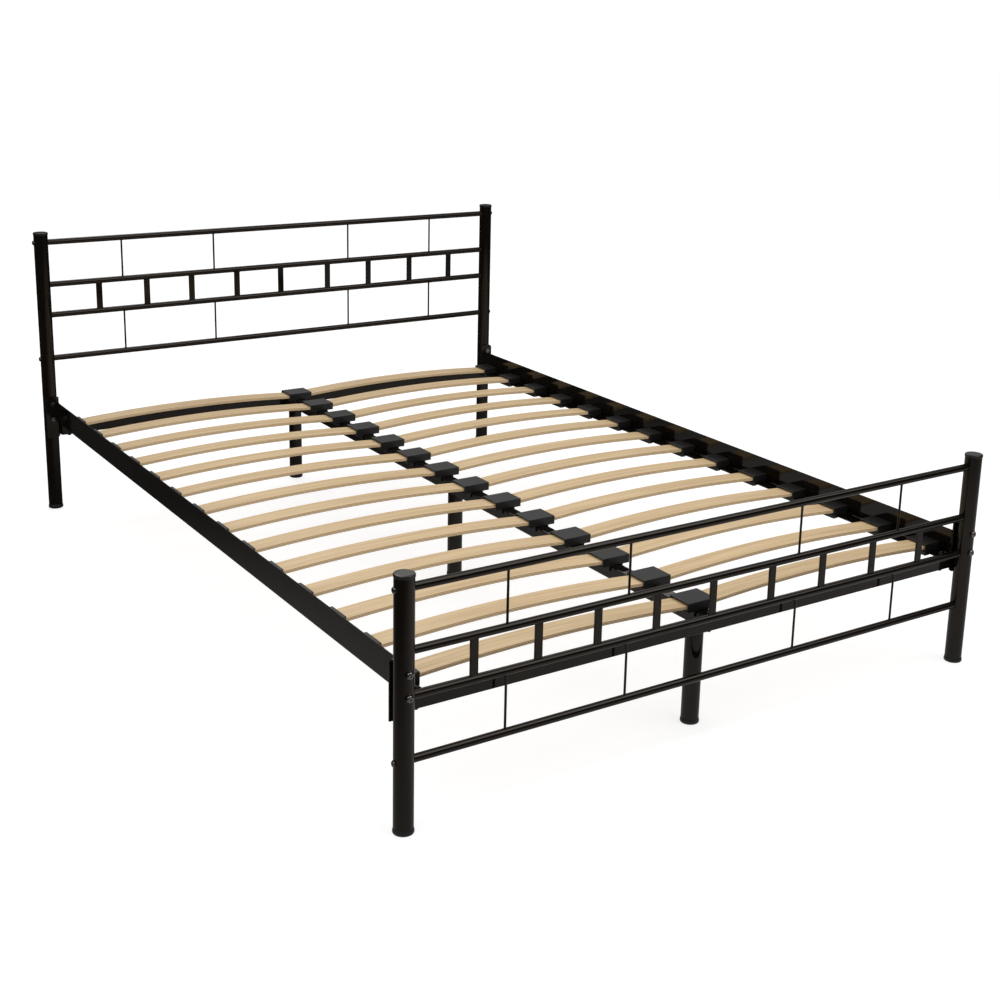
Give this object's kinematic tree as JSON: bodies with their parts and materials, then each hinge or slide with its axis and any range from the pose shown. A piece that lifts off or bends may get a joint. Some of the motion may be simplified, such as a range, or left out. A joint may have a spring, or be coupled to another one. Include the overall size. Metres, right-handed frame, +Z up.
{
  "type": "metal bed frame",
  "caption": "Double bed frame of round steel posts and open tube panels with rods and bars, bolted side rails, centre beam on legs, and bowed slats.",
  "frame": {"origin": "on the floor under the middle of the bed", "axes": "+X to the right across the bed as seen from its foot, +Y along the bed from foot to head, +Z up"},
  "size_m": [1.4866, 2.1, 0.793],
  "materials": {
    "powder_coat": "glossy black powder coat on steel, slightly warm",
    "black_plastic": "moulded black polyethylene, satin",
    "bolt_steel": "black zinc, shiny on the domed heads",
    "plywood": "pale bowed birch veneer, lightly lacquered"
  },
  "bodies": {
    "root": {"post_foot_left": "powder_coat", "post_cap_foot_left": "black_plastic", "glide_foot_left": "black_plastic", "post_foot_right": "powder_coat", "post_cap_foot_right": "black_plastic", "glide_foot_right": "black_plastic", "post_head_left": "powder_coat", "post_cap_head_left": "black_plastic", "glide_head_left": "black_plastic", "post_head_right": "powder_coat", "post_cap_head_right": "black_plastic", "glide_head_right": "black_plastic", "footboard_top_rail": "powder_coat", "footboard_ladder": "powder_coat", "footboard_bottom_rail": "powder_coat", "headboard_top_rail": "powder_coat", "headboard_ladder": "powder_coat", "headboard_bottom_rail": "powder_coat", "side_rail_right": "powder_coat", "side_rail_left": "powder_coat", "cross_bar_foot": "powder_coat", "cross_bar_head": "powder_coat", "centre_beam": "powder_coat", "centre_leg_foot": "powder_coat", "centre_glide_foot": "black_plastic", "centre_leg_middle": "powder_coat", "centre_glide_middle": "black_plastic", "centre_leg_head": "powder_coat", "centre_glide_head": "black_plastic", "rail_bolt_lower_foot_left": "bolt_steel", "rail_bolt_upper_foot_left": "bolt_steel", "panel_bolt_upper_foot_left": "bolt_steel", "panel_bolt_lower_foot_left": "bolt_steel", "rail_bolt_lower_foot_right": "bolt_steel", "rail_bolt_upper_foot_right": "bolt_steel", "panel_bolt_upper_foot_right": "bolt_steel", "panel_bolt_lower_foot_right": "bolt_steel", "rail_bolt_lower_head_left": "bolt_steel", "rail_bolt_upper_head_left": "bolt_steel", "panel_bolt_upper_head_left": "bolt_steel", "panel_bolt_lower_head_left": "bolt_steel", "rail_bolt_lower_head_right": "bolt_steel", "rail_bolt_upper_head_right": "bolt_steel", "panel_bolt_upper_head_right": "bolt_steel", "panel_bolt_lower_head_right": "bolt_steel", "slat_row_01": "plywood", "slat_row_02": "plywood", "slat_row_03": "plywood", "slat_row_04": "plywood", "slat_row_05": "plywood", "slat_row_06": "plywood", "slat_row_07": "plywood", "slat_row_08": "plywood", "slat_row_09": "plywood", "slat_row_10": "plywood", "slat_row_11": "plywood", "slat_row_12": "plywood", "slat_row_13": "plywood", "slat_row_14": "plywood"}
  },
  "joints": []
}
